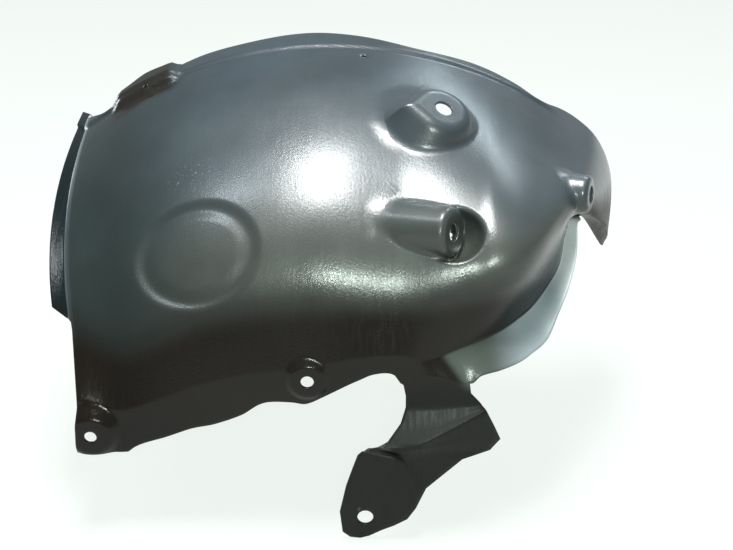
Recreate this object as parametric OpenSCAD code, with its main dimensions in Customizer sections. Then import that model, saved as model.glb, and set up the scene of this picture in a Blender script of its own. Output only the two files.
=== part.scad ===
// Wheel arch liner: one thin moulded shell that wraps over a road wheel. Its tread slopes
// from the outer lip to a near ridge, and a near wall hangs from the ridge to a free edge.
// It has three hollow screw bosses, two raised screw pads, a round stiffening groove, a
// joggled lip, a joggled end flange, a light turned-out flange and a folded tail.
// Lengths are millimetres and angles are degrees. The shape is laid out about the wheel
// axle, which lies along Y, with angles measured from straight up towards +X. The liner is
// then moved so that its origin is the centre of the middle screw hole.

/* [Arch] */
// Radius of the outer lip about the axle
arch_r = 361; // [345:1:380]
// Distance along the axle from the near wall to the outer lip
arch_depth = 250; // [225:1:275]
// Radius of the near ridge over the top of the wheel
ridge_r = 222; // [215:1:232]
// Radius of the line where the near wall meets its flange
foot_r = 180; // [176:1:186]
// Radius of the free edge of the near wall
edge_r = 146; // [142:1:152]
// Thickness of the moulded sheet
wall = 2.5; // [2:0.1:3.2]

/* [Lip and end flange] */
// Width of the joggled strip along the outer lip
lip_strip = 22; // [16:1:28]
// Height of the joggle along the outer lip
lip_joggle = 2; // [0.5:0.1:3]
// Height of the raised tab at the left end of the lip
tab_rise = 6; // [2:0.5:8]
// Width of the flange beyond the left end
end_flange = 16; // [12:1:22]
// Depth of the joggle between the left end and its flange
end_joggle = 3; // [1:0.5:4]

/* [Groove] */
// Radius of the round groove, measured to its deepest line
groove_r = 43; // [36:1:48]
// Width of the round groove
groove_w = 23; // [16:1:26]
// Depth of the round groove
groove_deep = 3.5; // [1:0.5:5]
// Depth of the disc inside the groove as a part of the groove's
groove_inside = 0.55; // [0:0.05:0.9]

/* [Screw bosses] */
// Diameter of the screw hole in each boss
boss_hole_d = 14; // [8:0.5:18]
// Radius of the cap of the upper boss
upper_cap_r = 22; // [17:1:25]
// Height of the upper boss over the tread
upper_high = 17; // [12:1:22]
// Radius of the cap of the lower boss
lower_cap_r = 19; // [16:1:21]
// Radius of the cap of the end boss
end_cap_r = 15; // [13:0.5:16]

/* [Screw pads and tail] */
// Diameter of the screw hole in the corner
corner_hole_d = 9.5; // [6:0.5:11]
// Diameter of the screw hole in the middle of the near wall
middle_hole_d = 10; // [6:0.5:12]
// Diameter of the screw hole in the tail
tail_hole_d = 12.5; // [8:0.5:15]
// Diameter of the two small locating holes in the lip
locating_hole_d = 4; // [3:0.5:5]
// Height of the corner pad over the near wall
corner_pad = 6; // [2:0.5:8]
// Height of the middle pad over the near wall
middle_pad = 3; // [1:0.5:4]
// Length of the tail below the free edge
tail_long = 125; // [110:1:135]
// How far the tail's lower end stands in front of the near wall
tail_reach = 20; // [10:1:28]

/* [Hidden] */

// Stations are angles at the lip. The shell runs from the first to the last of them.
first = -37.5;
last = 57;

// Outer lip: station, rise as a part of arch_r, and cut back of the edge as a part of
// arch_depth
LIP = [
    [-37.5, 0, 0.004], [-34.5, 0, 0.064], [-33, 0, 0.064], [-31.5, 0, 0.052], [-29.3, 0, 0.036],
    [-26.7, 0, 0.008], [-23, 0, 0.016], [-18, 0, -0.004], [-12, 0, -0.008], [-3, 0, -0.024],
    [4, 0, 0], [12, 0, 0.04], [21, 0, 0.028], [27, 0, 0.044], [30, 0, 0.064],
    [32, 0, 0.052], [34.7, 0, 0.004], [38, 0, -0.02], [41, 0.003, 0.004], [44, -0.008, 0.024],
    [47, -0.03, 0.04], [50, -0.064, 0.052], [54, -0.116, 0.064], [57, -0.155, 0.072]
];

// Near ridge: station, angle ahead of the station, rise as a part of the way from ridge_r to
// arch_r, and depth as a part of arch_depth
RIDGE = [
    [-37.5, -9.8, 0.345, 0.14], [-31, -10.8, 0.072, 0.072], [-18, -6, 0.014, 0.056],
    [-3, -1.4, -0.036, 0.048],
    [10, 3.6, 0, 0.048], [21, 4.5, 0.151, 0.056], [32, 1.5, 0.345, 0.12], [42, -4.5, 0.561, 0.312],
    [50, -10, 0.662, 0.52], [57, -12.8, 0.64, 0.688]
];

// Foot of the near wall: the same, with the rise from foot_r
FOOT = [
    [-37.5, -16.8, 0.315, 0.016], [-31, -18.6, 0.116, 0.008], [-18, -13, -0.006, 0], [-3, -2.3, -0.066, 0],
    [10, 6, 0.033, 0], [16.5, 7.5, 0.055, 0.016], [21, 7.5, 0.116, 0.048], [26, 9, 0.227, 0.112],
    [32, 7.5, 0.32, 0.216], [37, 4.6, 0.409, 0.296], [42, 0.7, 0.541, 0.416], [47, -5.2, 0.63, 0.512],
    [52, -11, 0.696, 0.608], [57, -13.2, 0.724, 0.672]
];

// Free edge: the same, with the rise from edge_r
EDGE = [
    [-37.5, -26.6, 0.33, 0], [-35.5, -27.3, 0.279, 0], [-31.8, -27.2, 0.167, 0], [-31, -25.5, 0.153, 0],
    [-27, -22.5, 0.088, 0], [-22, -20, 0.042, 0], [-18, -18, 0.005, 0], [-12, -15, -0.014, 0],
    [-8, -11, 0, 0], [-5, -6, -0.023, 0], [-2.5, -3.5, -0.037, 0], [0.5, 0.7, 0, 0],
    [4, 4.6, 0.06, 0], [7, 5.7, 0.098, 0], [10, 7.4, 0.116, 0], [12, 9, 0.088, 0],
    [16.5, 11, 0.167, 0], [20.5, 14.8, 0.205, 0], [23, 13.3, 0.251, 0.008], [26, 13.4, 0.302, 0.032],
    [29, 12.9, 0.353, 0.064], [32, 11.4, 0.395, 0.1], [36, 9, 0.46, 0.16], [39, 5.7, 0.535, 0.24],
    [42, 2.4, 0.6, 0.312], [46, -2.4, 0.684, 0.416], [51, -8.7, 0.758, 0.544], [57, -13.4, 0.772, 0.64]
];

// Parts of a section, from 0 at the lip to 1 at the free edge
at_ridge = 0.64;
at_foot = 0.84;

// Shape of the tread: pull of the lip and the ridge on it, as a part of its span
lip_pull = 0.36;
lip_sag = 0.06;
ridge_pull = 0.28;

// The end flange is turned up from the line of the arch, and its top stands out past the lip
flange_lift = 0.35;
flange_past = 0.03;
// Lip strip: width of its slope, and the stations where it fades out
strip_slope = 4;
strip_to = 30;
strip_fade = 5;
// Tab: the stations where its ends begin, the angle each end slopes over, and how far inside
// the strip its front slope begins, with the width of that slope
tab_from = -33;
tab_to = -23.5;
tab_fade = 2.5;
tab_back = 8;
tab_slope = 6;

// The left end bows out between the lip and the ridge, over the stations before bow_from
end_bow = 6;
bow_from = -20;

// Tail outline below the free edge, from its root down: the left, middle and right point of
// each row as X and Z from the root's left end, in parts of tail_long, and the part of
// tail_reach that the point stands forward
TAIL = [
    [[0.016, -0.08, 0], [0.216, -0.032, 0], [0.416, -0.064, 0]],
    [[0.016, -0.16, 0], [0.24, -0.16, 0], [0.48, -0.136, 0]],
    [[-0.016, -0.248, 0.25], [0.168, -0.256, 0.4], [0.504, -0.16, 0.05]],
    [[-0.096, -0.344, 0.6], [0.12, -0.344, 0.85], [0.512, -0.168, 0.1]],
    [[-0.128, -0.36, 0.65], [0.096, -0.36, 0.85], [0.576, -0.312, -0.1]],
    [[-0.152, -0.368, 0.7], [0.08, -0.376, 0.85], [0.616, -0.408, -0.2]],
    [[-0.176, -0.368, 0.75], [0.056, -0.4, 0.8], [0.552, -0.48, -0.1]],
    [[-0.192, -0.36, 0.85], [0.032, -0.424, 0.75], [0.376, -0.512, 0.25]],
    [[-0.208, -0.36, 0.9], [0.008, -0.456, 0.7], [0.152, -0.696, 0.55]],
    [[-0.248, -0.376, 1], [-0.048, -0.416, 1], [0.088, -0.792, 1]],
    [[-0.28, -0.408, 1], [-0.096, -0.496, 1], [0.032, -0.88, 1]],
    [[-0.312, -0.504, 1], [-0.16, -0.64, 1], [-0.048, -0.928, 1]],
    [[-0.352, -0.632, 1], [-0.224, -0.752, 1], [-0.136, -0.968, 1]],
    [[-0.392, -0.824, 1], [-0.288, -0.912, 1], [-0.208, -1.008, 1]],
    [[-0.376, -0.976, 1], [-0.328, -1.016, 1], [-0.264, -1.024, 1]]
];
tail_left = 12;
tail_middle = 16.5;
tail_right = 20.5;
// Screw hole in the tail, in the same parts
tail_hole_x = -0.232;
tail_hole_z = -0.864;

// Places of the corner and middle pads: station and part of the section
corner_at = [-35.6, 0.935];
middle_at = [-2.6, 0.89];
// Flat radius of each pad, and width of the slope round it
corner_flat = 14;
corner_slope = 11;
middle_flat = 11.5;
middle_slope = 7;
// Place of the groove's centre
groove_at = [-19.5, 0.5];
// Height of the groove's ring as a part of its width
groove_squash = 0.84;

// Screw bosses: the direction a screw leaves in, and the slope of the side wall
upper_axis = [0.32, -0.42, 0.85];
upper_draft = 38;
lower_axis = [0.85, -0.5, 0.15];
lower_draft = 4;
end_axis = [0.915, -0.394, 0.078];
end_draft = 6;
// Place under each boss, and the cap's height over it along the axis
upper_at = [14.8, 0.23];
lower_at = [16.9, 0.484];
lower_high = 5;
end_at = [42.6, 0.34];
end_high = 9;
// Length of each side wall, back from the cap
upper_back = 34;
lower_back = 72;
end_back = 40;
// How much wider than the cap the bowl in front of the lower boss is
bowl_more = 3;
// Windows of the net that each boss stands on: first and last station, first and last part
upper_window = [-3, 28, 0.05, 0.46];
lower_window = [-4, 30, 0.34, 0.66];
end_window = [28, 57, 0.12, 0.64];
bowl_window = [6, 31, 0.36, 0.62];
// Heights over and under the sheet that the bosses and the bowl are trimmed within
boss_reach = 45;
bowl_reach = 22;
// Half length of the round cutter that makes a screw hole
bore_reach = 8;
// Places of the locating holes in the lip: station and part of the section
lip_hole_at = [4.7, 0.071];
tab_hole_at = [-26.6, 0.049];

// Columns of the shell, as stations, and rows, as parts of the section
FLANGE_COLUMNS = [1, 0.62, 0.26, 0.12];
COLUMNS = concat(
    [for (a = [first:1.5:-7]) a],
    [for (a = [-5:2.4:10]) a],
    [tail_left, 14.2, tail_middle, 18.5, tail_right],
    [for (k = [1:21]) tail_right + (last - tail_right) * k / 21]
);
ROWS = concat(
    [0, 0.022, 0.042, 0.058],
    [for (k = [1:6]) 0.058 + 0.282 * k / 6],
    [for (k = [1:14]) 0.34 + (at_ridge - 0.34) * k / 14],
    [for (k = [1:4]) at_ridge + (at_foot - at_ridge) * k / 4],
    [for (k = [1:6]) at_foot + (1 - at_foot) * k / 6]
);
flange_rows = 22;

nf = len(FLANGE_COLUMNS);
nc = nf + len(COLUMNS);
nr = len(ROWS);
nt = nr + len(TAIL);
tail_from = nf + search(tail_left, COLUMNS)[0];
tail_to = nf + search(tail_right, COLUMNS)[0];
smooth_fn = 64;

// Rises from 0 to 1 with level ends as x goes from 0 to 1
function blend(x) = let(t = min(max(x, 0), 1)) t * t * (3 - 2 * t);
function unit(v) = v / norm(v);
function mix(a, b, t) = a + (b - a) * t;

// Index of the guide row at or before a station
function before(rows, a, i = 0) =
    i >= len(rows) - 2 || a < rows[i + 1][0] ? i : before(rows, a, i + 1);

// Slope of a guide at one of its rows
function slope(rows, i) =
    let(p = rows[max(i - 1, 0)], n = rows[min(i + 1, len(rows) - 1)]) (n - p) / (n[0] - p[0]);

// Smooth curve through the rows of a guide
function guide(rows, a) =
    let(i = before(rows, a), h = rows[i + 1][0] - rows[i][0], t = (a - rows[i][0]) / h)
    rows[i] * (2 * t ^ 3 - 3 * t ^ 2 + 1) + slope(rows, i) * h * (t ^ 3 - 2 * t ^ 2 + t)
    + rows[i + 1] * (3 * t ^ 2 - 2 * t ^ 3) + slope(rows, i + 1) * h * (t ^ 3 - t ^ 2);

// Point at an angle, a radius and a depth about the axle
function about(angle, r, y) = [r * sin(angle), y, r * cos(angle)];
function guide_point(rows, r, a) =
    let(g = guide(rows, a)) about(a + g[1], mix(r, arch_r, g[2]), g[3] * arch_depth);

// Tread between the lip and the ridge, as a curve with four controls
function tread(l, b, c, k, s) =
    l * (1 - s) ^ 3 + 3 * b * (1 - s) ^ 2 * s + 3 * c * (1 - s) * s ^ 2 + k * s ^ 3;

// Plain shell at station a and part v of the section
function core(a, v) =
    let(
        g = guide(LIP, a),
        l = about(a, arch_r * (1 + g[1]), arch_depth),
        k = guide_point(RIDGE, ridge_r, a),
        f = guide_point(FOOT, foot_r, a),
        e = guide_point(EDGE, edge_r, a),
        span = norm(k - l),
        cut = g[2] * arch_depth / (3 * lip_pull * span),
        s = cut + (1 - cut) * min(v / at_ridge, 1),
        b = l - [0, lip_pull * span, 0] - about(a, lip_sag * span, 0),
        c = k - unit(f - k) * ridge_pull * span,
        bow = end_bow * sin(180 * min(v / at_ridge, 1)) * blend((bow_from - a) / (bow_from - first))
    )
    (v < at_ridge ? tread(l, b, c, k, s)
        : v < at_foot ? mix(k, f, (v - at_ridge) / (at_foot - at_ridge))
        : mix(f, e, (v - at_foot) / (1 - at_foot))) - [bow, 0, 0];

// Outward direction of the plain shell
function facing(a, v) =
    let(da = 0.3, dv = 0.004)
    unit(cross(core(a, min(v + dv, 1)) - core(a, max(v - dv, 0)),
        core(min(a + da, last), v) - core(max(a - da, first), v)));

groove_c = core(groove_at[0], groove_at[1]);
groove_axis = facing(groove_at[0], groove_at[1]);
groove_fall = unit(core(groove_at[0], groove_at[1] + 0.01) - groove_c);
corner_c = core(corner_at[0], corner_at[1]);
middle_c = core(middle_at[0], middle_at[1]);

// Raises the lip strip and the tab at its left end
function lip_step(p, a) =
    let(
        edge = arch_depth - lip_strip,
        strip = lip_joggle * blend((p[1] - edge) / strip_slope)
            * (1 - blend((a - strip_to) / strip_fade)),
        along = blend((a - tab_from) / tab_fade) * (1 - blend((a - tab_to) / tab_fade)),
        tab = tab_rise * along * blend((p[1] - edge + tab_back) / tab_slope)
    )
    p + unit([p[0], 0, p[2]]) * (strip + tab);

// Sinks the round groove
function groove(p) =
    let(
        d = p - groove_c,
        r = norm(d + groove_fall * (d * groove_fall) * (1 / groove_squash - 1))
    )
    p - groove_axis * groove_deep * max(
        blend(1 - abs(r - groove_r) / (groove_w / 2)),
        r < groove_r ? groove_inside + (1 - groove_inside) * blend(1 - (groove_r - r) / (groove_w / 2)) : 0
    );

// Raises a flat pad square to Y round a screw hole
function pad(p, c, high, flat, ramp) =
    let(r = norm([p[0] - c[0], p[2] - c[2]]))
    [p[0], mix(-high, p[1], blend((r - flat) / ramp)), p[2]];

function skin(a, v) =
    pad(
        pad(groove(lip_step(core(a, v), a)), corner_c, corner_pad, corner_flat, corner_slope),
        middle_c, middle_pad, middle_flat, middle_slope
    );

// Flange beyond the left end, where w is 0 at the end and 1 at the flange's outer edge
function end_skin(w, v) =
    let(
        sunk = blend(w / 0.26),
        s = v - flange_past * sunk * (1 - v / at_ridge),
        out = unit(unit(core(first, s) - core(first + 1.5, s)) + [0, 0, flange_lift])
    )
    skin(first, s) + out * w * end_flange * (1 + 0.3 * v / at_ridge)
    - facing(first, v) * end_joggle * sunk;

tail_root = skin(tail_left, 1);
function tail_spot(q) = tail_root + [q[0] * tail_long, -q[2] * tail_reach, q[1] * tail_long];
function tail_skin(i, j) =
    let(a = COLUMNS[i - nf], row = TAIL[j - nr])
    a < tail_middle
        ? tail_spot(mix(row[0], row[1], (a - tail_left) / (tail_middle - tail_left)))
        : tail_spot(mix(row[1], row[2], (a - tail_middle) / (tail_right - tail_middle)));

// Whether the net has a knot at column i and row j
function knot(i, j) =
    i < 0 || j < 0 || i >= nc || j >= nt ? false
    : i < nf ? j <= flange_rows
    : j < nr ? true
    : i >= tail_from && i <= tail_to;

NET = [for (i = [0:nc - 1]) [for (j = [0:nt - 1])
    !knot(i, j) ? [0, 0, 0]
    : i < nf ? end_skin(FLANGE_COLUMNS[i], ROWS[j])
    : j < nr ? skin(COLUMNS[i - nf], ROWS[j])
    : tail_skin(i, j)]];

// Outward direction at each knot, from the knots beside it
NORMALS = [for (i = [0:nc - 1]) [for (j = [0:nt - 1])
    !knot(i, j) ? [0, 0, 1]
    : let(
        left = knot(i - 1, j) ? NET[i - 1][j] : NET[i][j],
        right = knot(i + 1, j) ? NET[i + 1][j] : NET[i][j],
        up = knot(i, j - 1) ? NET[i][j - 1] : NET[i][j],
        down = knot(i, j + 1) ? NET[i][j + 1] : NET[i][j]
    ) unit(cross(down - up, right - left))]];

// Whether the square of the net between knots i and i+1, j and j+1 is filled
function filled(i, j, i0, i1, j0, j1) =
    i >= i0 && i < i1 && j >= j0 && j < j1 && knot(i, j) && knot(i + 1, j)
    && knot(i, j + 1) && knot(i + 1, j + 1);

// Closed sheet over a window of the net, between two heights over the knots
module sheet(i0, i1, j0, j1, low, high) {
    wide = j1 - j0 + 1;
    count = (i1 - i0 + 1) * wide;
    points = [for (h = [high, low]) for (i = [i0:i1]) for (j = [j0:j1])
        NET[i][j] + NORMALS[i][j] * h];
    function at(i, j) = (i - i0) * wide + j - j0;
    function has(i, j) = filled(i, j, i0, i1, j0, j1);
    function side(p, q) = [[p, q + count, q], [p, p + count, q + count]];
    faces = [for (i = [i0:i1 - 1]) for (j = [j0:j1 - 1]) if (has(i, j))
        let(a = at(i, j), b = at(i + 1, j), c = at(i + 1, j + 1), d = at(i, j + 1))
        each concat(
            [[a, c, d], [a, b, c]],
            [[a + count, d + count, c + count], [a + count, c + count, b + count]],
            has(i, j - 1) ? [] : side(a, b),
            has(i + 1, j) ? [] : side(b, c),
            has(i, j + 1) ? [] : side(c, d),
            has(i - 1, j) ? [] : side(d, a)
        )];
    polyhedron(points, faces);
}

// Turns a shape's +Z to point along an axis
module aim(axis) {
    rotate([0, acos(axis[2] / norm(axis)), atan2(axis[1], axis[0])])
        children();
}

function cap_spot(at, axis, high) = core(at[0], at[1]) + unit(axis) * high;
upper_cap = cap_spot(upper_at, upper_axis, upper_high);
lower_cap = cap_spot(lower_at, lower_axis, lower_high);
end_cap = cap_spot(end_at, end_axis, end_high);

// Numbers of the columns and rows that enclose a window of stations and parts
function column(a) = nf + len([for (c = COLUMNS) if (c < a) c]);
function line(v) = len([for (r = ROWS) if (r < v) r]);

// Sheet over a window, between two heights
module band(window, low, high) {
    sheet(column(window[0]), column(window[1]), line(window[2]), line(window[3]), low, high);
}

// Solid boss, or the hollow inside it: a cap square to the screw, and a side wall that
// widens down from the cap. A hollow is inset by the wall and runs on past the sheet.
module boss(cap, axis, r, draft, back, inset = 0) {
    translate(cap)
        aim(axis)
            translate([0, 0, -back])
                cylinder(h = back - inset, r1 = r + back * tan(draft) - inset / cos(draft),
                    r2 = r + inset * tan(draft) - inset / cos(draft), $fn = smooth_fn);
}

module upper_boss(inset = 0, more = 0) {
    boss(upper_cap, upper_axis, upper_cap_r, upper_draft, upper_back + more, inset);
}

module lower_boss(inset = 0, more = 0) {
    boss(lower_cap, lower_axis, lower_cap_r, lower_draft, lower_back + more, inset);
}

module end_boss(inset = 0, more = 0) {
    boss(end_cap, end_axis, end_cap_r, end_draft, end_back + more, inset);
}

// Round bowl that leaves room for a screw in front of the lower boss
module bowl(inset = 0) {
    translate(lower_cap)
        sphere(r = lower_cap_r + bowl_more + inset, $fn = smooth_fn);
}

// Straight round hole through the sheet at a place
module bore(at, axis, d) {
    translate(at)
        aim(axis)
            translate([0, 0, -bore_reach])
                cylinder(h = 2 * bore_reach, d = d, $fn = smooth_fn);
}

// The sheet with the bowl sunk in it
module shell() {
    difference() {
        union() {
            sheet(0, nc - 1, 0, nt - 1, -wall, 0);
            intersection() {
                bowl(wall);
                band(bowl_window, -bowl_reach, -wall / 2);
            }
        }
        bowl();
    }
}

// The three bosses, trimmed to stand in the middle of the sheet's thickness. The lower one
// also reaches down into its bowl.
module bosses() {
    intersection() {
        upper_boss();
        band(upper_window, -wall / 2, boss_reach);
    }
    intersection() {
        lower_boss();
        union() {
            bowl(wall);
            band(lower_window, -wall / 2, boss_reach);
        }
    }
    intersection() {
        end_boss();
        band(end_window, -wall / 2, boss_reach);
    }
}

corner_hole = [corner_c[0], -corner_pad, corner_c[2]];
middle_hole = [middle_c[0], -middle_pad, middle_c[2]];
tail_hole = tail_spot([tail_hole_x, tail_hole_z, 1]);

module arch_liner() {
    color([0.27, 0.33, 0.36])
        translate(-middle_hole)
            difference() {
                union() {
                    shell();
                    bosses();
                }
                upper_boss(wall, 6);
                lower_boss(wall, 6);
                end_boss(wall, 6);
                bore(upper_cap, upper_axis, boss_hole_d);
                bore(lower_cap, lower_axis, boss_hole_d);
                bore(end_cap, end_axis, boss_hole_d);
                bore(corner_hole, [0, -1, 0], corner_hole_d);
                bore(middle_hole, [0, -1, 0], middle_hole_d);
                bore(tail_hole, [0, -1, 0], tail_hole_d);
                bore(skin(lip_hole_at[0], lip_hole_at[1]), facing(lip_hole_at[0], lip_hole_at[1]),
                    locating_hole_d);
                bore(skin(tab_hole_at[0], tab_hole_at[1]), facing(tab_hole_at[0], tab_hole_at[1]),
                    locating_hole_d);
            }
}

arch_liner();
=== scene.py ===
import bmesh
import bpy
import numpy as np
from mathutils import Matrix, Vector


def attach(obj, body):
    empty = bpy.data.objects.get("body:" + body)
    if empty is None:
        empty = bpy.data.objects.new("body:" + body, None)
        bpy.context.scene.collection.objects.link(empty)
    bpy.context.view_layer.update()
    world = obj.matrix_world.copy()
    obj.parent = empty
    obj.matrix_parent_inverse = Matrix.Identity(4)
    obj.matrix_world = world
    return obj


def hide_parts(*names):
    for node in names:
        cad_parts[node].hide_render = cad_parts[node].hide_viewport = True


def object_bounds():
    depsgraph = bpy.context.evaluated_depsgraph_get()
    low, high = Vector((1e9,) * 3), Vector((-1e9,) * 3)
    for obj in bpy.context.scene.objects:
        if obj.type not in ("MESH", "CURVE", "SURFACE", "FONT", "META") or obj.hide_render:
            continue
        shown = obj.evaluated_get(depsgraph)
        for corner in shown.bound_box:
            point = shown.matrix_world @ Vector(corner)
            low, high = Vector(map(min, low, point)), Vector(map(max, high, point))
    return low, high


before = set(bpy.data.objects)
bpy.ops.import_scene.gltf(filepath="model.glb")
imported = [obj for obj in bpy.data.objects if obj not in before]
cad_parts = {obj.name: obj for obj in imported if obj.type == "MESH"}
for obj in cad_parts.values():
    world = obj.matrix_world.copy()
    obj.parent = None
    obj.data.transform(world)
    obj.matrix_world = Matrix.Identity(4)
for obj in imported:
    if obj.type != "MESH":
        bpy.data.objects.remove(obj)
first_box = [list(c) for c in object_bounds()]

# Arch liner
# One sheet of dark glossy plastic, 2.5 mm thick and moulded in one piece with its hollow screw
# bosses, screw pads, round groove, joggled lip, flanges and folded tail. Screws through its
# holes fasten it inside the wheel arch.

# Sizes are in millimetres about the wheel axle. A place on the sheet is u, its angle along the
# arch in degrees from straight up, and t, the part of the way from the lip to the free edge.
ARCH_R, ARCH_DEPTH, WALL = 361.0, 250.0, 2.5
RIDGE_R, FOOT_R, EDGE_R = 222.0, 180.0, 146.0
FIRST, LAST = -37.5, 57.0
AT_RIDGE, AT_FOOT = 0.64, 0.84

# Outer lip: u, rise as a part of the radius, cut back as a part of the depth
LIP = np.array([
    [-37.5, 0, 0.004], [-34.5, 0, 0.064], [-33, 0, 0.064], [-31.5, 0, 0.052], [-29.3, 0, 0.036],
    [-26.7, 0, 0.008], [-23, 0, 0.016], [-18, 0, -0.004], [-12, 0, -0.008], [-3, 0, -0.024],
    [4, 0, 0], [12, 0, 0.04], [21, 0, 0.028], [27, 0, 0.044], [30, 0, 0.064],
    [32, 0, 0.052], [34.7, 0, 0.004], [38, 0, -0.02], [41, 0.003, 0.004], [44, -0.008, 0.024],
    [47, -0.03, 0.04], [50, -0.064, 0.052], [54, -0.116, 0.064], [57, -0.155, 0.072],
])
# Ridge, foot of the near wall and free edge: u, angle ahead of it, rise towards the lip's
# radius, depth as a part of the whole
RIDGE = np.array([
    [-37.5, -9.8, 0.345, 0.14], [-31, -10.8, 0.072, 0.072], [-18, -6, 0.014, 0.056],
    [-3, -1.4, -0.036, 0.048], [10, 3.6, 0, 0.048], [21, 4.5, 0.151, 0.056],
    [32, 1.5, 0.345, 0.12], [42, -4.5, 0.561, 0.312], [50, -10, 0.662, 0.52],
    [57, -12.8, 0.64, 0.688],
])
FOOT = np.array([
    [-37.5, -16.8, 0.315, 0.016], [-31, -18.6, 0.116, 0.008], [-18, -13, -0.006, 0],
    [-3, -2.3, -0.066, 0], [10, 6, 0.033, 0], [16.5, 7.5, 0.055, 0.016],
    [21, 7.5, 0.116, 0.048], [26, 9, 0.227, 0.112], [32, 7.5, 0.32, 0.216],
    [37, 4.6, 0.409, 0.296], [42, 0.7, 0.541, 0.416], [47, -5.2, 0.63, 0.512],
    [52, -11, 0.696, 0.608], [57, -13.2, 0.724, 0.672],
])
EDGE = np.array([
    [-37.5, -26.6, 0.33, 0], [-35.5, -27.3, 0.279, 0], [-31.8, -27.2, 0.167, 0],
    [-31, -25.5, 0.153, 0], [-27, -22.5, 0.088, 0], [-22, -20, 0.042, 0], [-18, -18, 0.005, 0],
    [-12, -15, -0.014, 0], [-8, -11, 0, 0], [-5, -6, -0.023, 0], [-2.5, -3.5, -0.037, 0],
    [0.5, 0.7, 0, 0], [4, 4.6, 0.06, 0], [7, 5.7, 0.098, 0], [10, 7.4, 0.116, 0],
    [12, 9, 0.088, 0], [16.5, 11, 0.167, 0], [20.5, 14.8, 0.205, 0], [23, 13.3, 0.251, 0.008],
    [26, 13.4, 0.302, 0.032], [29, 12.9, 0.353, 0.064], [32, 11.4, 0.395, 0.1],
    [36, 9, 0.46, 0.16], [39, 5.7, 0.535, 0.24], [42, 2.4, 0.6, 0.312],
    [46, -2.4, 0.684, 0.416], [51, -8.7, 0.758, 0.544], [57, -13.4, 0.772, 0.64],
])


def blend(x):
    """From 0 to 1 as x does, with a soft start and a soft end."""
    x = np.clip(x, 0, 1)
    return x * x * (3 - 2 * x)


def unit(v):
    return v / np.linalg.norm(v, axis=-1, keepdims=True)


def dot(a, b):
    return np.sum(a * b, axis=-1)


def guide(rows, u):
    """Smooth curve through the rows, the first of whose numbers is u."""
    x, n = rows[:, 0], len(rows)
    after, prior = np.minimum(np.arange(n) + 1, n - 1), np.maximum(np.arange(n) - 1, 0)
    slope = (rows[after] - rows[prior]) / (x[after] - x[prior])[:, None]
    i = np.clip(np.searchsorted(x, u, side="right") - 1, 0, n - 2)
    h = (x[i + 1] - x[i])[:, None]
    s = (u - x[i])[:, None] / h
    return (
        rows[i] * (2 * s**3 - 3 * s**2 + 1) + slope[i] * h * (s**3 - 2 * s**2 + s)
        + rows[i + 1] * (3 * s**2 - 2 * s**3) + slope[i + 1] * h * (s**3 - s**2)
    )


def about(angle, r, y):
    """Points at an angle and a radius about the axle, y along it."""
    a = np.radians(angle)
    return np.stack([r * np.sin(a), y + 0 * a, r * np.cos(a)], axis=-1)


# How far the tread's curve is pulled at the lip and at the ridge, and its crown, in parts of its
# span, the softness of the fold at the foot of the wall in t, and the bow of the left end in mm
LIP_PULL, RIDGE_PULL, CROWN = 0.36, 0.28, 0.06
FOLD_SOFT = 0.012
END_BOW, BOW_FROM = 6, -20


def core(u, t):
    """The plain sheet: a curved tread, a near wall and a flange below it."""
    g = guide(LIP, u)
    lip = about(u, ARCH_R * (1 + g[:, 1]), np.full(len(u), ARCH_DEPTH))
    ridge, foot, edge = (
        about(u + q[:, 1], r + (ARCH_R - r) * q[:, 2], q[:, 3] * ARCH_DEPTH)
        for q, r in ((guide(RIDGE, u), RIDGE_R), (guide(FOOT, u), FOOT_R), (guide(EDGE, u), EDGE_R))
    )
    span = np.linalg.norm(ridge - lip, axis=-1)[:, None]
    part = np.minimum(t / AT_RIDGE, 1)[:, None]
    cut = g[:, 2:3] * ARCH_DEPTH / (3 * LIP_PULL * span)
    s = cut + (1 - cut) * part
    b = lip - span * [0, LIP_PULL, 0] - about(u, CROWN * span[:, 0], np.zeros(len(u)))
    c = ridge - unit(foot - ridge) * RIDGE_PULL * span
    tread = lip * (1 - s) ** 3 + 3 * b * (1 - s) ** 2 * s + 3 * c * (1 - s) * s**2 + ridge * s**3
    wall = ridge + (foot - ridge) * ((t - AT_RIDGE) / (AT_FOOT - AT_RIDGE))[:, None]
    flange = foot + (edge - foot) * ((t - AT_FOOT) / (1 - AT_FOOT))[:, None]
    h = np.clip((t - AT_FOOT) / (2 * FOLD_SOFT) + 0.5, 0, 1)[:, None]
    near = foot + (ridge - foot) * FOLD_SOFT / (AT_FOOT - AT_RIDGE)
    far = foot + (edge - foot) * FOLD_SOFT / (1 - AT_FOOT)
    fold = near * (1 - h) ** 2 + 2 * foot * h * (1 - h) + far * h**2
    lower = np.where((t < AT_FOOT)[:, None], wall, flange)
    lower = np.where((np.abs(t - AT_FOOT) < FOLD_SOFT)[:, None], fold, lower)
    p = np.where((t < AT_RIDGE)[:, None], tread, lower)
    bow = END_BOW * np.sin(np.pi * part[:, 0]) * blend((BOW_FROM - u) / (BOW_FROM - FIRST))
    return p - bow[:, None] * [1, 0, 0]


def tangents(surface, u, t):
    """How a surface runs along u and along t, and its outward facing."""
    du, dt = 0.05, 0.0008
    a = (surface(u + du, t) - surface(u - du, t)) / (2 * du)
    b = (surface(u, t + dt) - surface(u, t - dt)) / (2 * dt)
    return a, b, unit(np.cross(b, a))


def spot(surface, u, t):
    return surface(np.array([float(u)]), np.array([float(t)]))[0]


def facing(surface, u, t):
    return tangents(surface, np.array([float(u)]), np.array([float(t)]))[2][0]


# The joggle and the tab are steps up towards the lip, each over a few millimetres of slope
JOGGLE_WIDE, JOGGLE_HIGH, JOGGLE_SLOPE, JOGGLE_END = 22, 2, 4, 30
TAB_WIDE, TAB_HIGH, TAB_SLOPE = 30, 6, 6
TAB_FROM, TAB_TO = -33, -22.8

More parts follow.
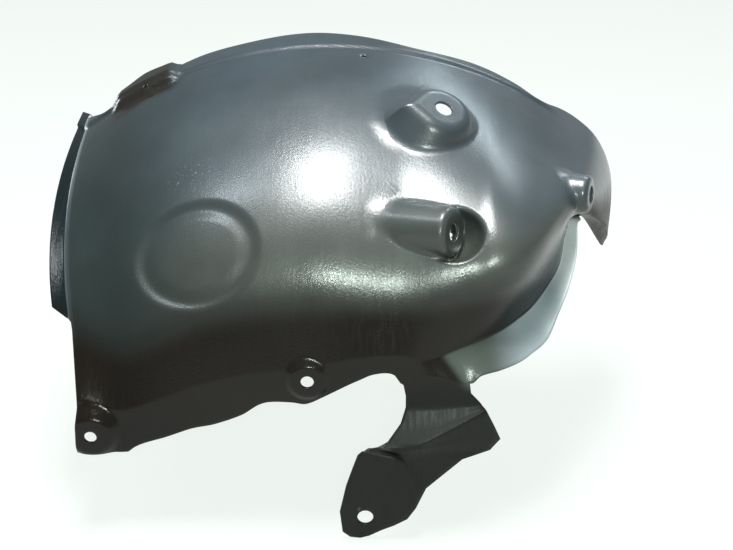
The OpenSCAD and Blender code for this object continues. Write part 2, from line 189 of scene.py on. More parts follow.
# The groove is a ring squashed along the fall of the sheet, round a disc that is nearly as deep
GROOVE_SEAT = (-19.5, 0.5)
GROOVE_R, GROOVE_HALF, GROOVE_DEEP, GROOVE_SQUASH, DISC_DEEP = 43, 11.5, 3.5, 0.84, 0.7
groove_c, groove_axis = spot(core, *GROOVE_SEAT), facing(core, *GROOVE_SEAT)
groove_fall = unit(spot(core, GROOVE_SEAT[0], GROOVE_SEAT[1] + 0.01) - groove_c)

# Screw pads: seat in u and t, height, radius of the flat top and width of the slope round it
CORNER_SEAT, MIDDLE_SEAT = (-35.6, 0.935), (-2.6, 0.89)
CORNER_PAD, MIDDLE_PAD = (6, 14, 11), (3, 11.5, 7)
corner_c, middle_c = spot(core, *CORNER_SEAT), spot(core, *MIDDLE_SEAT)


def skin(u, t):
    """The sheet with its joggled lip, raised tab, round groove and two screw pads."""
    p = core(u, t)
    in_joggle = blend((p[:, 1] - (ARCH_DEPTH - JOGGLE_WIDE)) / JOGGLE_SLOPE)
    in_tab = blend((p[:, 1] - (ARCH_DEPTH - TAB_WIDE)) / TAB_SLOPE)
    rise = JOGGLE_HIGH * in_joggle * (1 - blend((u - JOGGLE_END) / 5))
    rise += TAB_HIGH * blend((u - TAB_FROM) / 2.5) * (1 - blend((u - TAB_TO) / 1.4)) * in_tab
    p = p + unit(p * [1, 0, 1]) * rise[:, None]
    d = p - groove_c
    stretch = dot(d, groove_fall) * (1 / GROOVE_SQUASH - 1)
    r = np.linalg.norm(d + groove_fall * stretch[:, None], axis=-1)
    ring = blend(1 - np.abs(r - GROOVE_R) / GROOVE_HALF)
    deep = GROOVE_DEEP * np.where(r < GROOVE_R, DISC_DEEP + (1 - DISC_DEEP) * ring, ring)
    p = p - groove_axis * deep[:, None]
    for c, (high, flat, slope) in ((corner_c, CORNER_PAD), (middle_c, MIDDLE_PAD)):
        m = blend((np.hypot(p[:, 0] - c[0], p[:, 2] - c[2]) - flat) / slope)
        p = np.stack([p[:, 0], -high + (p[:, 1] + high) * m, p[:, 2]], axis=-1)
    return p


# Tail: rows of a left, middle and right point below its root, in parts of its length, with
# the part of its reach that each stands forward
TAIL = np.array([
    [[0.016, -0.08, 0], [0.216, -0.032, 0], [0.416, -0.064, 0]],
    [[0.016, -0.16, 0], [0.24, -0.16, 0], [0.48, -0.136, 0]],
    [[-0.016, -0.248, 0.25], [0.168, -0.256, 0.4], [0.504, -0.16, 0.05]],
    [[-0.096, -0.344, 0.6], [0.12, -0.344, 0.85], [0.512, -0.168, 0.1]],
    [[-0.128, -0.36, 0.65], [0.096, -0.36, 0.85], [0.576, -0.312, -0.1]],
    [[-0.152, -0.368, 0.7], [0.08, -0.376, 0.85], [0.616, -0.408, -0.2]],
    [[-0.176, -0.368, 0.75], [0.056, -0.4, 0.8], [0.552, -0.48, -0.1]],
    [[-0.192, -0.36, 0.85], [0.032, -0.424, 0.75], [0.376, -0.512, 0.25]],
    [[-0.208, -0.36, 0.9], [0.008, -0.456, 0.7], [0.152, -0.696, 0.55]],
    [[-0.248, -0.376, 1], [-0.048, -0.416, 1], [0.088, -0.792, 1]],
    [[-0.28, -0.408, 1], [-0.096, -0.496, 1], [0.032, -0.88, 1]],
    [[-0.312, -0.504, 1], [-0.16, -0.64, 1], [-0.048, -0.928, 1]],
    [[-0.352, -0.632, 1], [-0.224, -0.752, 1], [-0.136, -0.968, 1]],
    [[-0.392, -0.824, 1], [-0.288, -0.912, 1], [-0.208, -1.008, 1]],
    [[-0.376, -0.976, 1], [-0.328, -1.016, 1], [-0.264, -1.024, 1]],
])
TAIL_LONG, TAIL_REACH, TAIL_STEP = 125.0, 20.0, 0.02
TAIL_LEFT, TAIL_MIDDLE, TAIL_RIGHT = 12.0, 16.5, 20.5
tail_root = spot(skin, TAIL_LEFT, 1)
tail_points = tail_root + TAIL[:, :, [0, 2, 1]] * [TAIL_LONG, -TAIL_REACH, TAIL_LONG]

# End flange: its share of u, its width, the step down to it with the part of the width that the
# step takes, and how far the flange turns up
FLANGE_U, FLANGE_WIDE, FLANGE_STEP, STEP_PART, FLANGE_UP = 6.0, 16, 3, 0.26, 0.35


def place(u, t):
    """Any point of the outer skin: the sheet, the flange at its left end, and the tail."""
    p = skin(np.maximum(u, FIRST), np.clip(t, 0, 1))
    k = np.nonzero(u < FIRST)[0]
    if len(k):
        w, end, s = (FIRST - u[k]) / FLANGE_U, np.full(len(k), FIRST), t[k]
        sunk = blend(w / STEP_PART)
        # The flange stands a little past the lip, and is wider towards the ridge
        past = s - 0.03 * sunk * (1 - s / AT_RIDGE)
        out = unit(unit(core(end, past) - core(end + 1.5, past)) + [0, 0, FLANGE_UP])
        down = tangents(core, end, s)[2]
        wide = w * FLANGE_WIDE * (1 + 0.3 * s / AT_RIDGE)
        p[k] = skin(end, past) + out * wide[:, None] - down * (FLANGE_STEP * sunk)[:, None]
    k = np.nonzero(t > 1)[0]
    if len(k):
        left = (u[k] - TAIL_LEFT) / (TAIL_MIDDLE - TAIL_LEFT)
        right = (u[k] - TAIL_MIDDLE) / (TAIL_RIGHT - TAIL_MIDDLE)
        x = np.where(u[k] < TAIL_MIDDLE, left, 1 + right)
        x = np.clip(x, 0, 1.999999)
        # Each knot lies between two rows and two columns of the tail's points
        row = np.clip((t[k] - 1) / TAIL_STEP, 0, len(TAIL) - 1e-6)
        i, j = row.astype(int), x.astype(int)
        f, g = (row - i)[:, None], (x - j)[:, None]
        below = tail_points[i, j] * (1 - g) + tail_points[i, j + 1] * g
        i = np.maximum(i - 1, 0)
        above = tail_points[i, j] * (1 - g) + tail_points[i, j + 1] * g
        above = np.where(row[:, None] < 1, p[k], above)
        p[k] = above * (1 - f) + below * f
    return p


def steps(*runs):
    """Numbers from the start of each run to the end of the last, evenly spaced in a run."""
    ends = [runs[-1][1]]
    return np.concatenate([np.linspace(a, b, n, endpoint=False) for a, b, n in runs] + [ends])


# The net is laid flat first, with u and t as its coordinates. A run is from, to and how many
# steps.
columns = steps((FIRST - FLANGE_U, FIRST - 1.6, 8), (FIRST - 1.6, FIRST, 5), (FIRST, TAIL_LEFT, 86),
                (TAIL_LEFT, TAIL_RIGHT, 18), (TAIL_RIGHT, LAST, 62))
rows = steps((0, 0.07, 16), (0.07, 0.34, 38), (0.34, 0.62, 39), (0.62, AT_RIDGE, 3), (AT_RIDGE, 0.82, 13),
             (0.82, 0.86, 7), (0.86, 1, 10), (1, 1 + TAIL_STEP * len(TAIL), 60))
net = bmesh.new()
knots = {}


def knot(i, j):
    if (i, j) not in knots:
        knots[i, j] = net.verts.new((columns[i], rows[j], 0))
    return knots[i, j]


for i in range(len(columns) - 1):
    for j in range(len(rows) - 1):
        u, t = (columns[i] + columns[i + 1]) / 2, (rows[j] + rows[j + 1]) / 2
        if u < FIRST and t > 0.62 or t > 1 and not TAIL_LEFT < u < TAIL_RIGHT:
            continue
        net.faces.new((knot(i, j), knot(i, j + 1), knot(i + 1, j + 1), knot(i + 1, j)))


def flat_points():
    net.verts.ensure_lookup_table()
    net.verts.index_update()
    uv = np.array([v.co[:2] for v in net.verts])
    return uv, place(uv[:, 0], uv[:, 1])


def refine(cuts, *balls):
    """Splits the faces near the centre of each ball, so that small shapes have enough net."""
    _, p = flat_points()
    edges = set()
    near = np.zeros(len(p), bool)
    for middle, r in balls:
        near |= np.linalg.norm(p - middle, axis=-1) < r
    for f in net.faces:
        if all(near[v.index] for v in f.verts):
            edges.update(f.edges)
    edges = sorted(edges, key=lambda e: e.index)
    bmesh.ops.subdivide_edges(net, edges=edges, cuts=cuts, use_grid_fill=True)
    net.edges.index_update()


class Boss:
    """A hollow screw boss, drawn out of the sheet.

    Its axis meets the plain sheet at u and t. high is how far out its cap is, r the cap's radius
    and draft the slope of its side in degrees. The net is dropped onto it along press. span is
    how far round it the height over the plain sheet is known. bowl is the radius of a hollow
    round its cap, and corner the way in which its side runs out to a corner.
    """

    POWERS = 9

    def __init__(self, u, t, axis, high, r, draft, press, span, bowl=None, corner=None):
        self.axis = unit(np.array(axis))
        self.base = spot(core, u, t)
        self.cap = self.base + self.axis * high
        self.r, self.slope, self.bowl, self.span, self.high = r, np.radians(draft), bowl, span, high
        self.corner = corner
        self.press = unit(np.array(press))
        self.seat = (u, t)
        # Near the boss the sheet is a height over a plane, as powers of x and y
        z = facing(core, u, t)
        x = unit(np.cross([0, 0, 1], z))
        self.turn = np.stack([x, np.cross(z, x), z], axis=-1)
        a, b = np.meshgrid(u + np.linspace(-12, 12, 61), t + np.linspace(-0.2, 0.2, 61))
        a, b = a.ravel(), np.clip(b.ravel(), 0, AT_RIDGE)
        q = (core(a, b) - self.base) @ self.turn / span
        q = q[np.linalg.norm(q, axis=-1) < 1]
        powers = [(i, k) for i in range(self.POWERS) for k in range(self.POWERS - i)]
        made = np.stack([q[:, 0] ** i * q[:, 1] ** k for i, k in powers], axis=-1)
        found = np.linalg.lstsq(made, q[:, 2], rcond=None)[0]
        self.fit = np.zeros((self.POWERS, self.POWERS))
        self.fit[tuple(np.array(powers).T)] = found
        self.fit_x, self.fit_y = (np.polynomial.polynomial.polyder(self.fit, axis=k) for k in (0, 1))

    def height(self, p):
        """Height of each point over the plain sheet."""
        q = (p - self.base) @ self.turn / self.span
        x, y = np.clip(q[:, 0], -1.2, 1.2), np.clip(q[:, 1], -1.2, 1.2)
        fits = (self.fit, self.fit_x, self.fit_y)
        z, dx, dy = (np.polynomial.polynomial.polyval2d(x, y, c) for c in fits)
        return self.span * (q[:, 2] - z) / np.sqrt(1 + dx**2 + dy**2)


upper = Boss(14.8, 0.23, axis=(0.32, -0.42, 0.85), high=17, r=22, draft=38,
             press=(0.3, -0.5, 0.8), span=60, corner=(-1, 0, -0.25))
lower = Boss(16.9, 0.484, axis=(0.85, -0.5, 0.15), high=5, r=19, draft=4,
             press=(0.55, -0.7, 0.45), span=60, bowl=22)
end = Boss(42.6, 0.34, axis=(0.915, -0.394, 0.078), high=9, r=15, draft=6,
           press=(0.75, -0.5, 0.43), span=46)

net.edges.index_update()
refine(1, (groove_c, 60), (corner_c, 30), (middle_c, 24))
lower_root, end_root = lower.base - lower.axis * 14, end.base - end.axis * 6
refine(2, (upper.base, 42), (lower_root, 36), (lower.base, 32), (end_root, 30))


def foot_of(p, u, t, surface):
    """A step nearer to p on a surface: its u and t, the height of p over it, and its facing."""
    a, b, _ = tangents(surface, u, t)
    d = p - surface(u, t)
    aa, ab, bb, ad, bd = dot(a, a), dot(a, b), dot(b, b), dot(a, d), dot(b, d)
    det = aa * bb - ab * ab
    u = u + np.clip((ad * bb - bd * ab) / det, -3, 3)
    t = t + np.clip((bd * aa - ad * ab) / det, -0.03, 0.03)
    n = tangents(surface, u, t)[2]
    return u, t, dot(p - surface(u, t), n), n


# Knots on the rims of holes, each with its place in space and the hole's axis
pins = {}


def punch(centre, axis, r, along, seat, surface, count=56):
    """Cuts a round hole in the net: its rim stays true to the circle in space."""
    axis, along = unit(np.array(axis)), unit(np.array(along))
    e1 = unit(np.cross(axis, [0.1, 0.2, 0.97]))
    e2 = np.cross(axis, e1)
    turn = np.linspace(0, 2 * np.pi, count, endpoint=False)[:, None]
    circle = centre + r * (np.cos(turn) * e1 + np.sin(turn) * e2)
    # The circle is slid along the press direction until it lies on the surface
    u, t = np.full(count, float(seat[0])), np.full(count, float(seat[1]))
    s = np.zeros(count)
    for _ in range(30):
        u, t, high, n = foot_of(circle + along * s[:, None], u, t, surface)
        s = s - high / dot(n, np.broadcast_to(along, n.shape))
    # The faces under it and just outside it come out of the net
    _, p = flat_points()
    ring_p = surface(u, t)
    middle = ring_p.mean(axis=0)
    away = np.linalg.norm((p - middle) - np.outer((p - middle) @ along, along), axis=-1)
    size = np.linalg.norm((ring_p - middle) - np.outer((ring_p - middle) @ along, along), axis=-1).max()
    margin, reach = 1.2, 30
    close = (away < size + margin) & (np.linalg.norm(p - middle, axis=-1) < reach)
    close = set(np.nonzero(close)[0])
    gone = [f for f in net.faces if any(v.index in close for v in f.verts)]
    edge_faces = {}
    for f in gone:
        for e in f.edges:
            edge_faces[e] = edge_faces.get(e, 0) + 1
    # Their border is followed round
    border = [e for e, k in edge_faces.items() if k == 1]
    loop_verts = {v for e in border for v in e.verts}
    pairs = {v: [] for v in loop_verts}
    for e in border:
        a, b = e.verts
        pairs[a].append(b)
        pairs[b].append(a)
    start = min(loop_verts, key=lambda v: v.index)
    spots = {v: p[v.index] for v in loop_verts}
    loop, prior = [start], None
    while True:
        nxt = [v for v in pairs[loop[-1]] if v is not prior]
        prior = loop[-1]
        if nxt[0] is start or (len(nxt) > 1 and len(loop) > 2 and start in nxt):
            break
        loop.append(nxt[0])
    bmesh.ops.delete(net, geom=gone, context="FACES")
    ring = [net.verts.new((a, b, 0)) for a, b in zip(u, t)]
    spots.update(zip(ring, ring_p))
    for v, q in zip(ring, circle):
        pins[v] = (q, axis)
    f1 = unit(np.cross(along, [0.1, 0.2, 0.97]))
    f2 = np.cross(along, f1)

    def turn_of(v):
        return np.arctan2((spots[v] - middle) @ f2, (spots[v] - middle) @ f1)

    def ordered(vs):
        angles = np.unwrap([turn_of(v) for v in vs])
        if angles[-1] < angles[0]:
            vs = vs[::-1]
        k = int(np.argmin([turn_of(v) for v in vs]))
        return vs[k:] + vs[:k]

    # Triangles fill the gap between the new ring and the border
    ring, loop = ordered(ring), ordered(loop)
    ra = np.maximum.accumulate([turn_of(v) for v in ring] + [turn_of(ring[0]) + 2 * np.pi])
    la = np.maximum.accumulate([turn_of(v) for v in loop] + [turn_of(loop[0]) + 2 * np.pi])
    i = j = 0
    while i < len(ring) or j < len(loop):
        a, b = ring[i % len(ring)], loop[j % len(loop)]
        if j >= len(loop) or (i < len(ring) and ra[i + 1] < la[j + 1]):
            net.faces.new((a, ring[(i + 1) % len(ring)], b))
            i += 1
        else:
            net.faces.new((a, loop[(j + 1) % len(loop)], b))
            j += 1


# Screw holes of the pads, the tail and the bosses, and two locating holes in the lip and the tab
CORNER_HOLE_R, MIDDLE_HOLE_R, TAIL_HOLE_R, BOSS_HOLE_R, LOCATING_HOLE_R = 4.75, 5.0, 6.25, 7.0, 2.0
TAIL_SEAT = (15.5, 1 + TAIL_STEP * 13.3)
LOCATING_SEATS = ((4.7, 0.071), (-26.6, 0.049))
near = (0.0, -1.0, 0.0)
corner_hole = corner_c * [1, 0, 1] - [0, CORNER_PAD[0], 0]
middle_hole = middle_c * [1, 0, 1] - [0, MIDDLE_PAD[0], 0]
tail_hole = tail_root + np.array([-0.232 * TAIL_LONG, -TAIL_REACH, -0.864 * TAIL_LONG])
punch(corner_hole, near, CORNER_HOLE_R, near, CORNER_SEAT, skin)
punch(middle_hole, near, MIDDLE_HOLE_R, near, MIDDLE_SEAT, skin)
punch(tail_hole, near, TAIL_HOLE_R, near, TAIL_SEAT, place)
for u, t in LOCATING_SEATS:
    punch(spot(skin, u, t), facing(core, u, t), LOCATING_HOLE_R, facing(skin, u, t), (u, t), skin, 32)
for boss in (upper, lower, end):
    punch(boss.cap, boss.axis, BOSS_HOLE_R, boss.press, boss.seat, core)

net.verts.ensure_lookup_table()
net.verts.index_update()
bmesh.ops.recalc_face_normals(net, faces=net.faces)
uv = np.array([v.co[:2] for v in net.verts])
faces = [[v.index for v in f.verts] for f in net.faces]
edges = np.array([[v.index for v in e.verts] for e in net.edges])
pinned = {v.index: q for v, q in pins.items()}
net.free()


def normals_of(p, faces):
    """Facing at each knot, weighed by the area of the faces round it."""
    n = np.zeros_like(p)
    for size in (3, 4):
        f = np.array([q for q in faces if len(q) == size])
        if len(f) == 0:
            continue
        a, b = (p[f[:, 1]] - p[f[:, 0]], p[f[:, 2]] - p[f[:, 0]]) if size == 3 else (
            p[f[:, 2]] - p[f[:, 0]], p[f[:, 3]] - p[f[:, 1]])
        c = np.cross(a, b)
        for k in range(size):
            np.add.at(n, f[:, k], c)
    return unit(n)


outer = place(uv[:, 0], uv[:, 1])


def fullness(a, b, c):
    """Area of a triangle of knots against the squares of its sides."""
    area = np.linalg.norm(np.cross(outer[b] - outer[a], outer[c] - outer[a]))
    sides = [outer[p] - outer[q] for p, q in ((a, b), (b, c), (c, a))]
    return area / max(sum(dot(d, d) for d in sides), 1e-9)


def cut_up(q):
    """Splits a face with points along its sides so that its thinnest triangle is full."""
    best, at = {}, {}
    for gap in range(1, len(q)):
        for i in range(len(q) - gap):
            j = i + gap
            best[i, j] = 1.0
            if gap > 1:
                best[i, j], at[i, j] = max(
                    (min(fullness(q[i], q[k], q[j]), best[i, k], best[k, j]), k) for k in range(i + 1, j)
                )
    made, todo = [], [(0, len(q) - 1)]
    while todo:
        i, j = todo.pop()
        if j - i > 1:
            k = at[i, j]
            made.append([q[i], q[k], q[j]])
            todo += [(i, k), (k, j)]
    return made


faces = [q for q in faces if len(q) <= 4] + [f for q in faces if len(q) > 4 for f in cut_up(q)]
normal = normals_of(outer, faces)
if dot(normal, tangents(core, uv[:, 0], np.clip(uv[:, 1], 0, 0.99))[2]).mean() < 0:
    faces = [q[::-1] for q in faces]
    normal = -normal


# Rounding of a boss's cap, fillet at its foot, rounding of the bowl, and turn of the corner
CAP_SOFT, FOOT_SOFT, BOWL_SOFT, CORNER_TURN = 5, 4, 4, 43


def soft_least(a, b, k):
    """The smaller of two numbers, blended where they are less than k apart."""
    h = np.maximum(k - np.abs(a - b), 0) / k
    return np.minimum(a, b) - h * h * k / 4


def form(boss, p, bias):
    """Height over the sheet and boss together: 0 on their skin, with filleted joins."""
    q = p - boss.cap
    z = q @ boss.axis
    rho = np.linalg.norm(q - np.outer(z, boss.axis), axis=-1)
    if boss.corner:
        way = unit(np.array(boss.corner) - dot(np.array(boss.corner), boss.axis) * boss.axis)
        x, y = q @ way, np.abs(q @ np.cross(boss.axis, way))
        turn = np.radians(CORNER_TURN)
        sharp = x * np.cos(turn) + y * np.sin(turn)
        share = (np.arctan2(y, x) < turn) * blend(1 + 0.55 * z / boss.high)
        rho = rho + (np.maximum(sharp, 0) - rho) * share
    side = (rho - boss.r + z * np.tan(boss.slope)) * np.cos(boss.slope)
    solid = -soft_least(-side, -z, CAP_SOFT)
    sheet = boss.height(p) - bias
    if boss.bowl:
        sheet = -soft_least(-sheet, np.linalg.norm(q, axis=-1) - boss.bowl, BOWL_SOFT)
    return soft_least(sheet, solid, FOOT_SOFT)


def fall(boss, p, bias):
    """Direction in which the form's height changes most."""
    h = 0.05
    ahead = [form(boss, p + h * e, bias) for e in np.eye(3)]
    behind = [form(boss, p - h * e, bias) for e in np.eye(3)]
    return (np.stack(ahead, axis=-1) - np.stack(behind, axis=-1)) / (2 * h)


def drawn(boss, start, level, bias):
    """Drops the net onto a boss along its press direction, from well outside it."""
    drop_from = 45
    p = start + boss.press * drop_from
    for _ in range(60):
        p = p - boss.press * (form(boss, p, bias) - level)[:, None]
    return p


def settled(boss, p, level, free, links, bias):
    """Evens out the net over a boss, and holds it on the form."""
    count = np.maximum(np.bincount(links.ravel(), minlength=len(p)), 1)
    a, b = np.concatenate([links[:, 0], links[:, 1]]), np.concatenate([links[:, 1], links[:, 0]])
    k = np.nonzero(free)[0]
    for _ in range(30):
        mean = np.stack([np.bincount(a, p[b, i], len(p)) for i in range(3)], axis=-1) / count[:, None]
        p[k] += 0.5 * (mean[k] - p[k])
        g = fall(boss, p[k], bias[k])
        p[k] -= g * ((form(boss, p[k], bias[k]) - level) / np.maximum(dot(g, g), 0.2))[:, None]
    for _ in range(3):
        g = fall(boss, p[k], bias[k])
        p[k] -= g * ((form(boss, p[k], bias[k]) - level) / np.maximum(dot(g, g), 0.2))[:, None]
    return p


inner = outer - normal * WALL
for i, (q, axis) in pinned.items():
    outer[i], inner[i] = q, q - axis * WALL
plain = place(uv[:, 0], uv[:, 1])
held = np.zeros(len(uv), bool)
held[list(pinned)] = True
# The net that each boss takes is centred root below its base, and goes reach from there
for boss, root, reach in ((upper, 0, 52), (lower, 12, 52), (end, 6, 40)):
    middle = boss.base - boss.axis * root
    ids = np.nonzero(np.linalg.norm(plain - middle, axis=-1) < reach)[0]
    back = np.full(len(uv), -1)
    back[ids] = np.arange(len(ids))
    links = back[edges]
    links = links[(links >= 0).all(axis=1)]
    bias = boss.height(plain[ids])
    fresh = drawn(boss, plain[ids], 0, bias)
    # Knots on the lip, past the ridge or near the last edge stay where they are
    inside = (uv[ids, 1] > 0.01) & (uv[ids, 1] < 0.7) & (uv[ids, 0] < 52)
    moved = (np.linalg.norm(fresh - plain[ids], axis=-1) > 0.1) & inside
    # Four rings of knots round those that the boss moves are evened out with them
    for _ in range(4):
        grown = moved.copy()
        grown[links[moved[links[:, 0]], 1]] = True
        grown[links[moved[links[:, 1]], 0]] = True
        moved = grown
    free = moved & ~held[ids] & inside
    for skin_p, level in ((outer, 0), (inner, -WALL)):
        p = drawn(boss, plain[ids], level, bias)
        p[~free] = skin_p[ids][~free]
        skin_p[ids] = settled(boss, p, level, free, links, bias)

# The two skins are closed with a rounded rim
RIM_R = 0.5
sides = {}
for q in faces:
    for a, b in zip(q, q[1:] + q[:1]):
        sides[a, b] = sides.get((a, b), 0) + 1
rim = [(a, b) for a, b in sides if (b, a) not in sides]
normal = normals_of(outer, faces)
out = np.zeros_like(outer)
for a, b in rim:
    along = unit(outer[b] - outer[a])
    out[a] += along
    out[b] += along
ids = sorted({i for e in rim for i in e})
out[ids] = unit(np.cross(unit(out[ids]), normal[ids]))
through = unit(outer[ids] - inner[ids])
ring_1, ring_2 = outer[ids] - through * RIM_R, inner[ids] + through * RIM_R
outer[ids] -= out[ids] * RIM_R
inner[ids] -= out[ids] * RIM_R
n = len(outer)
place_of = {v: k for k, v in enumerate(ids)}
points = np.concatenate([outer, inner, ring_1, ring_2])
points = np.clip((points - middle_hole) / 1000, first_box[0], first_box[1])
m = len(ids)
all_faces = list(faces) + [[n + v for v in q[::-1]] for q in faces]
for a, b in rim:
    ka, kb = place_of[a], place_of[b]
    for lo_a, lo_b, hi_a, hi_b in ((a, b, 2 * n + ka, 2 * n + kb),
                                   (2 * n + ka, 2 * n + kb, 2 * n + m + ka, 2 * n + m + kb),
                                   (2 * n + m + ka, 2 * n + m + kb, n + a, n + b)):
        all_faces.append([lo_b, lo_a, hi_a, hi_b])
mesh = bpy.data.meshes.new("arch_liner_skin")
mesh.from_pydata(points.tolist(), [], all_faces)
mesh.validate()
mesh.polygons.foreach_set("use_smooth", [True] * len(mesh.polygons))
liner = bpy.data.objects.new("arch_liner_skin", mesh)
bpy.context.scene.collection.objects.link(liner)

# Broad tones that shade into each other, most of them painted light and shade on plastic of one
# colour. Each has red, green and blue, and as a fourth number its part of the soft sheen.
u, t = uv[:, 0], uv[:, 1]
TREAD, INSIDE = (0.028, 0.039, 0.045, 1), (0.022, 0.024, 0.025, 0.3)
on_tail = blend((t - 1) / 0.02)
on_tab = blend((u - TAB_FROM) / 1.5) * blend((-22 - u) / 1.5) * blend((0.085 - t) / 0.02)
# Where the painted highlight runs along the step down to the end flange
step_highlight = np.exp(-(((u - FIRST + 0.45) / 0.42) ** 2)) * (0.25 + 0.75 * blend((0.42 - t) / 0.3))
# Where the flange below the wall takes its painted reflection
on_flange_reflection = blend((t - 0.838) / 0.008) * blend((u - 18.8) / 1.6)
tone = np.tile(TREAD, (n, 1))
for share, shade in (
    # Painted reflections, bluer towards the lip and lighter and warmer towards the ridge, and
    # painted shade, darker teal towards the left end
    (blend((0.3 - t) / 0.2), (0.017, 0.027, 0.034, 0.75)),
    (0.8 * blend((t - 0.33) / 0.2), (0.042, 0.046, 0.036, 1)),
    (0.9 * blend((-14 - u) / 18), (0.009, 0.015, 0.014, 0.2)),
    # Painted shade on the dark end flange, and a pale painted highlight along the step down to it
    (blend((FIRST + 0.4 - u) / 0.8), (0.003, 0.007, 0.008, 0)),
    (0.9 * step_highlight, (0.42, 0.48, 0.52, 0.9)),
    # Painted shade: the near wall brown-black, as if its gloss mirrored a dark floor; the tab
    # brown-black too; and a painted brown reflection on the tip
    (0.95 * blend((t - 0.54) / 0.17), (0.006, 0.0032, 0.0012, 0)),
    (on_tab, (0.012, 0.010, 0.008, 0.1)),
    (0.9 * blend((u - 46) / 6), (0.026, 0.019, 0.014, 0)),
    # Painted reflection on the flange below the wall, pale and paler towards its top
    (on_flange_reflection, (0.055, 0.068, 0.056, 0.4)),
    (on_flange_reflection * blend((u - 24) / 8), (0.33, 0.38, 0.40, 0.9)),
    (on_flange_reflection * blend((u - 39) / 5), (0.9, 0.95, 0.97, 0.9)),
    # Painted shade: the tail near-black, like the near wall
    (on_tail, (0.006, 0.006, 0.004, 0)),
):
    tone = tone + (np.array(shade) - tone) * np.clip(share, 0, 1)[:, None]
tone = np.concatenate([tone, np.tile(INSIDE, (n, 1)), tone[ids], tone[ids]])
mesh.color_attributes.new("tone", "FLOAT_COLOR", "POINT").data.foreach_set("color", tone.ravel())

# The tail, the tip and the side towards the wheel are duller than the rest
matt = np.maximum(on_tail, blend((u - 46) / 5))
matt = np.concatenate([matt, np.ones(n), matt[ids], matt[ids]])
mesh.attributes.new("matt", "FLOAT", "POINT").data.foreach_set("value", matt)

plastic = bpy.data.materials.new("liner_plastic")
plastic.use_nodes = True
plastic_tree = plastic.node_tree
gloss_plastic = plastic_tree.nodes["Principled BSDF"]
gloss_plastic.inputs["Specular IOR Level"].default_value = 0.27
gloss_plastic.inputs["Coat Roughness"].default_value = 0.42
coords = plastic_tree.nodes.new("ShaderNodeTexCoord").outputs["Object"]


def fed(tree, node, inputs):
    """Gives a node's inputs their values, each a number, a row of numbers or another output."""
    for name, given in inputs.items():
        if isinstance(given, bpy.types.NodeSocket):
            tree.links.new(given, node.inputs[name])
        else:
            node.inputs[name].default_value = given
    return node


def worked(tree, operation, *given):
    """A sum or product of numbers and outputs, by a Math node."""
    node = tree.nodes.new("ShaderNodeMath")
    node.operation = operation
    return fed(tree, node, dict(enumerate(given))).outputs[0]


def noise(scale, detail, stretch=(1, 1, 1)):
    """A cloudy pattern that lies still on the liner."""
    turned = fed(plastic_tree, plastic_tree.nodes.new("ShaderNodeMapping"),
                 {"Vector": coords, "Scale": stretch})
    made = fed(plastic_tree, plastic_tree.nodes.new("ShaderNodeTexNoise"),
               {"Vector": turned.outputs["Vector"], "Scale": scale, "Detail": detail})
    return made.outputs["Fac"]


def spread(value, low, high, to_low, to_high):
    """Takes the range from low to high to another, and stops at its ends."""
    made = fed(plastic_tree, plastic_tree.nodes.new("ShaderNodeMapRange"),
               {"Value": value, "From Min": low, "From Max": high, "To Min": to_low, "To Max": to_high})
    return made.outputs["Result"]


def painted(name):
    """An attribute of the mesh."""
    made = plastic_tree.nodes.new("ShaderNodeAttribute")
    made.attribute_name = name
    return made.outputs


# Colour: the tones, with a cloudy change in depth
tinted = plastic_tree.nodes.new("ShaderNodeVectorMath")
tinted.operation = "SCALE"
cloud = spread(noise(14, 4), 0.3, 0.7, 0.8, 1.2)
fed(plastic_tree, tinted, {0: painted("tone")["Color"], "Scale": cloud})

# A few pale scuffs round one place on the tread, where something has rubbed it
SCUFFS_AT, SCUFF_COLOUR = (-0.094, 0.098, 0.135), (0.25, 0.29, 0.31, 1)
away = plastic_tree.nodes.new("ShaderNodeVectorMath")
away.operation = "DISTANCE"
fed(plastic_tree, away, {0: coords, 1: SCUFFS_AT})
near_scuffs = spread(away.outputs["Value"], 0.006, 0.024, 0.6, 0)
specks = spread(noise(430, 3, (1, 1, 0.5)), 0.63, 0.7, 0, 0.8)
scuffed = plastic_tree.nodes.new("ShaderNodeMix")
scuffed.data_type = "RGBA"
# Places of the sockets that a Mix node has for colour
MIX_SHARE, MIX_UNDER, MIX_OVER, MIX_OUT = 0, 6, 7, 2
fed(plastic_tree, scuffed, {
    MIX_SHARE: worked(plastic_tree, "MULTIPLY", near_scuffs, specks),
    MIX_UNDER: tinted.outputs["Vector"],
    MIX_OVER: SCUFF_COLOUR,
})

# The soft sheen is blotchy, as on plastic that has been wiped and handled
blotches = spread(noise(22, 4), 0.35, 0.65, 0.78, 1.05)
sheen = worked(plastic_tree, "MULTIPLY", painted("tone")["Alpha"], blotches)

# Gloss: fine streaks along the pull of the mould, and the duller parts
streaks = spread(noise(60, 3, (6, 0.3, 1)), 0.35, 0.7, 0.13, 0.25)
dulled = worked(plastic_tree, "MULTIPLY_ADD", painted("matt")["Fac"], 0.28, streaks)

# Grain of the moulded skin, in two sizes
grain = {}
for scale, deep in ((520, 0.0004), (1300, 0.0003)):
    bump = plastic_tree.nodes.new("ShaderNodeBump")
    fed(plastic_tree, bump, {"Strength": 0.24, "Distance": deep, "Height": noise(scale, 2), **grain})
    grain = {"Normal": bump.outputs["Normal"]}
fed(plastic_tree, gloss_plastic, {
    "Base Color": scuffed.outputs[MIX_OUT],
    "Coat Weight": sheen,
    "Roughness": dulled,
    "Normal": grain["Normal"],
    "Coat Normal": grain["Normal"],
})
mesh.materials.append(plastic)
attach(liner, "root")
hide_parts("arch_liner")

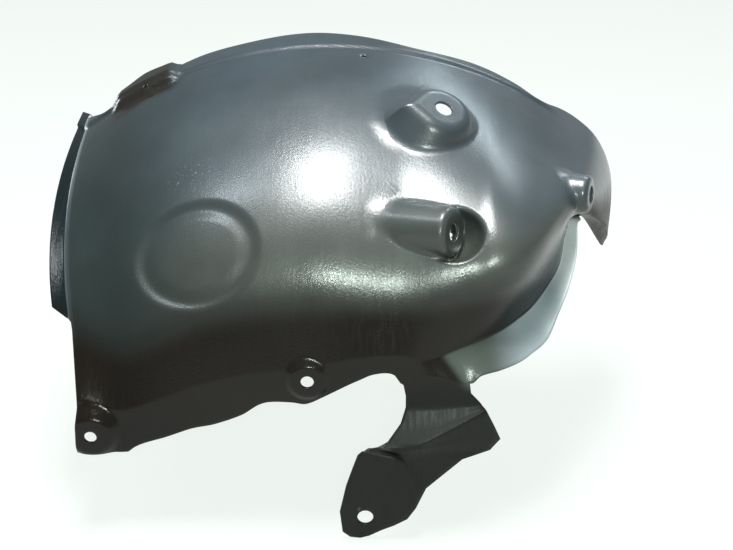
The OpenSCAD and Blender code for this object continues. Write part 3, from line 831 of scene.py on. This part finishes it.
# Floor
# A plain floor just under the tail, part of the stage and not of the object. It takes the
# liner's shadow, and a glow that lights nothing makes it pale, also where it is mirrored.
FLOOR_HALF, FLOOR_GAP, FLOOR_GLOW = 40, 0.0005, 0.83
floor_z = float(points[:, 2].min()) - FLOOR_GAP
corners = ((-1, -1), (1, -1), (1, 1), (-1, 1))
floor_corners = [(x * FLOOR_HALF, y * FLOOR_HALF, floor_z) for x, y in corners]
floor_mesh = bpy.data.meshes.new("floor")
floor_mesh.from_pydata(floor_corners, [], [(0, 1, 2, 3)])
floor = bpy.data.objects.new("floor", floor_mesh)
bpy.context.scene.collection.objects.link(floor)
pale_floor = bpy.data.materials.new("pale_floor")
pale_floor.use_nodes = True
floor_tree = pale_floor.node_tree
path = floor_tree.nodes.new("ShaderNodeLightPath").outputs
seen = worked(floor_tree, "MAXIMUM", path["Is Camera Ray"], path["Is Glossy Ray"])
seen = worked(floor_tree, "MAXIMUM", seen, path["Is Transmission Ray"])
fed(floor_tree, floor_tree.nodes["Principled BSDF"], {
    "Base Color": (0.11, 0.113, 0.11, 1),
    "Roughness": 0.8,
    "Emission Color": (0.93, 0.98, 0.94, 1),
    "Emission Strength": worked(floor_tree, "MULTIPLY", seen, FLOOR_GLOW),
})
floor_mesh.materials.append(pale_floor)

# Light
# Five soft boxes, overhead, behind, in front, beside the left end and above it, in a room with
# plain soft light. They stand where the liner's gloss mirrors them as in the photo.
world = bpy.data.worlds.new("world")
bpy.context.scene.world = world
world.use_nodes = True
room = world.node_tree.nodes["Background"]
room.inputs["Color"].default_value = (0.87, 0.96, 1, 1)
room.inputs["Strength"].default_value = 0.42


def soft_box(name, at, aim, size, power, colour):
    light = bpy.data.lights.new(name, "AREA")
    light.shape = "RECTANGLE"
    light.size, light.size_y = size
    light.energy = power
    light.color = colour
    o = bpy.data.objects.new(name, light)
    o.location = at
    o.rotation_euler = (Vector(aim) - Vector(at)).to_track_quat("-Z", "Y").to_euler()
    bpy.context.scene.collection.objects.link(o)


soft_box("overhead", (-0.025, 0.06, 1.6), (0, 0.06, 0), (0.65, 0.4), 41, (0.97, 1, 0.99))
soft_box("behind", (0.9, 1.5, 1.6), (0.1, 0.1, 0.1), (0.8, 0.5), 10, (0.8, 0.93, 1))
soft_box("front", (0.12, -1.5, 0.92), (0.03, 0.02, 0.08), (0.25, 0.18), 17, (0.86, 1, 0.9))
soft_box("edge", (-1.8, 1.6, 0.4), (-0.2, 0.14, 0.1), (0.4, 0.4), 6, (0.85, 0.95, 1))
soft_box("left", (-0.72, 0.05, 1.5), (-0.1, 0.1, 0.1), (0.25, 0.4), 5, (0.8, 0.92, 1))

# Camera
# A plain perspective camera that looks down on the liner by 25 degrees.
camera = bpy.data.cameras.new("camera")
camera.sensor_width = 36
camera.lens = 57.78
eye = bpy.data.objects.new("camera", camera)
eye.location = (0.0449952, -0.773308, 0.450557)
eye.rotation_euler = (np.radians(65), 0, 0)
bpy.context.scene.collection.objects.link(eye)
bpy.context.scene.camera = eye
bpy.context.scene.view_settings.view_transform = "Standard"
